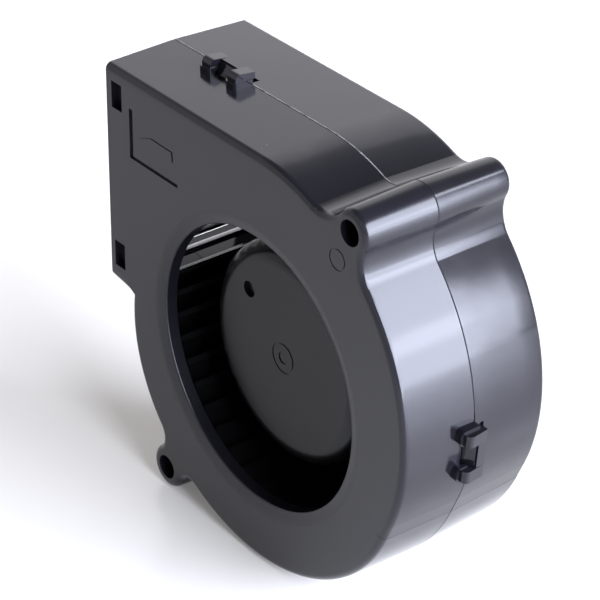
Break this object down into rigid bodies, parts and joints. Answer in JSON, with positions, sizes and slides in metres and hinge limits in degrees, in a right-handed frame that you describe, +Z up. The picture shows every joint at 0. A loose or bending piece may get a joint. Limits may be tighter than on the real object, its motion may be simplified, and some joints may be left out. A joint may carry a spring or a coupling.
{
  "type": "dc blower fan",
  "caption": "Compact centrifugal blower: snap-together scroll case with a round side inlet, a square outlet, two through bosses, a forward-curved wheel and a brushless motor.",
  "frame": {"origin": "where the impeller axis crosses the plane of the inlet face", "axes": "+Z up with the outlet at the upper left, the inlet faces -Y, the outlet faces -X"},
  "size_m": [0.0831, 0.03, 0.0815],
  "materials": {
    "case_black": "black glass-filled plastic, satin gloss",
    "wheel_black": "black plastic, low gloss",
    "brass": "turned brass",
    "core_steel": "stacked silicon steel sheets",
    "insulator": "natural nylon",
    "copper": "enamelled copper wire",
    "tin": "tinned wire",
    "board_green": "green solder mask",
    "chip_black": "moulded epoxy",
    "ceramic_tan": "ceramic with tinned ends",
    "bearing_steel": "ground bearing steel",
    "spring_steel": "bare spring steel",
    "yoke_steel": "drawn and plated steel",
    "magnet_grey": "bonded ferrite"
  },
  "bodies": {
    "housing": {"front_cover": "case_black", "rear_case": "case_black", "bearing_tube": "brass", "stator_core": "core_steel", "insulator_front": "insulator", "insulator_rear": "insulator", "coil_1": "copper", "coil_2": "copper", "coil_3": "copper", "coil_4": "copper", "coil_pins": "tin", "circuit_board": "board_green", "hall_sensor": "chip_black", "driver_ic": "chip_black", "capacitor_1": "ceramic_tan", "capacitor_2": "ceramic_tan", "resistor": "chip_black", "diode": "chip_black", "front_outer_race": "bearing_steel", "rear_outer_race": "bearing_steel", "front_shields": "bearing_steel", "rear_shields": "bearing_steel"},
    "rotor": {"impeller": "wheel_black", "yoke": "yoke_steel", "magnet": "magnet_grey", "hub_bush": "brass", "shaft": "bearing_steel", "preload_washer": "spring_steel", "lock_ring": "spring_steel", "front_inner_race": "bearing_steel", "rear_inner_race": "bearing_steel"},
    "front_ball_set": {"front_balls": "bearing_steel", "front_cage": "spring_steel"},
    "rear_ball_set": {"rear_balls": "bearing_steel", "rear_cage": "spring_steel"}
  },
  "joints": [
    {"name": "impeller_spin", "type": "hinge", "parent": "housing", "child": "rotor", "pos_m": [0, 0.0138, 0], "axis": [0, -1, 0], "continuous": true},
    {"name": "front_balls_spin", "type": "hinge", "parent": "housing", "child": "front_ball_set", "pos_m": [0, 0.0129, 0], "axis": [0, -1, 0], "continuous": true},
    {"name": "rear_balls_spin", "type": "hinge", "parent": "housing", "child": "rear_ball_set", "pos_m": [0, 0.0269, 0], "axis": [0, -1, 0], "continuous": true}
  ],
  "couplings": [
    {"joint": "front_balls_spin", "follows": "impeller_spin", "ratio": 0.4},
    {"joint": "rear_balls_spin", "follows": "impeller_spin", "ratio": 0.4}
  ]
}
